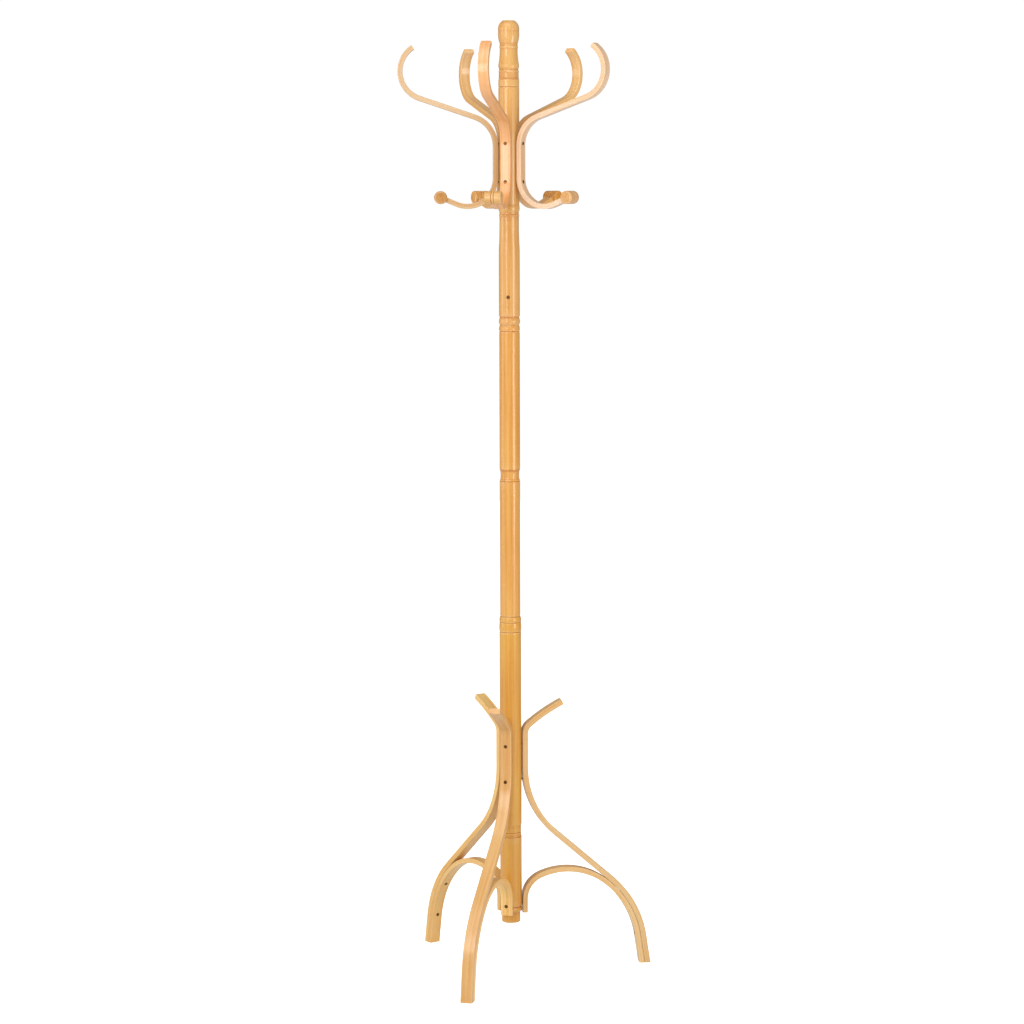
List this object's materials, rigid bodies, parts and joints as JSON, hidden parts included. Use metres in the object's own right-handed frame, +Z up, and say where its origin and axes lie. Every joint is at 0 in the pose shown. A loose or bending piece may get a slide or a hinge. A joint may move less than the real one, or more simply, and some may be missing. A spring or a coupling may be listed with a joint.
{
  "type": "standing coat rack",
  "caption": "Free-standing coat rack in bent and turned wood: a ringed pole, a turning crown of bent hooks with crosswise pegs, and splayed bent legs with arched braces.",
  "frame": {"origin": "on the floor, under the axis of the pole", "axes": "+Z up along the pole's axis, -Y towards the front leg's side, +X to the right when seen from the front"},
  "size_m": [0.4904, 0.4985, 1.85],
  "materials": {
    "pole_top_beech": "satin",
    "pole_middle_beech": "satin",
    "pole_bottom_beech": "satin",
    "hook_beech": "satin",
    "peg_beech": "satin",
    "leg_beech": "satin",
    "brace_beech": "satin",
    "screw_steel": "satin"
  },
  "bodies": {
    "stand": {"pole_bottom": "pole_bottom_beech", "pole_middle": "pole_middle_beech", "leg_front": "leg_beech", "brace_front": "brace_beech", "leg_front_screw_upper": "screw_steel", "leg_front_screw_lower": "screw_steel", "brace_front_pole_screw": "screw_steel", "brace_front_leg_screw_upper": "screw_steel", "brace_front_leg_screw_lower": "screw_steel", "leg_right": "leg_beech", "brace_right": "brace_beech", "leg_right_screw_upper": "screw_steel", "leg_right_screw_lower": "screw_steel", "brace_right_pole_screw": "screw_steel", "brace_right_leg_screw_upper": "screw_steel", "brace_right_leg_screw_lower": "screw_steel", "leg_left": "leg_beech", "brace_left": "brace_beech", "leg_left_screw_upper": "screw_steel", "leg_left_screw_lower": "screw_steel", "brace_left_pole_screw": "screw_steel", "brace_left_leg_screw_upper": "screw_steel", "brace_left_leg_screw_lower": "screw_steel"},
    "crown": {"pole_top": "pole_top_beech", "crown_retaining_screw": "screw_steel", "hook_left": "hook_beech", "peg_left": "peg_beech", "hook_left_screw_upper": "screw_steel", "hook_left_screw_lower": "screw_steel", "hook_front": "hook_beech", "peg_front": "peg_beech", "hook_front_screw_upper": "screw_steel", "hook_front_screw_lower": "screw_steel", "hook_front_right": "hook_beech", "peg_front_right": "peg_beech", "hook_front_right_screw_upper": "screw_steel", "hook_front_right_screw_lower": "screw_steel", "hook_back_right": "hook_beech", "peg_back_right": "peg_beech", "hook_back_right_screw_upper": "screw_steel", "hook_back_right_screw_lower": "screw_steel", "hook_back_left": "hook_beech", "peg_back_left": "peg_beech", "hook_back_left_screw_upper": "screw_steel", "hook_back_left_screw_lower": "screw_steel"}
  },
  "joints": [
    {"name": "crown_turn", "type": "hinge", "parent": "stand", "child": "crown", "pos_m": [0, 0, 1.2678], "axis": [0, 0, 1], "continuous": true}
  ]
}
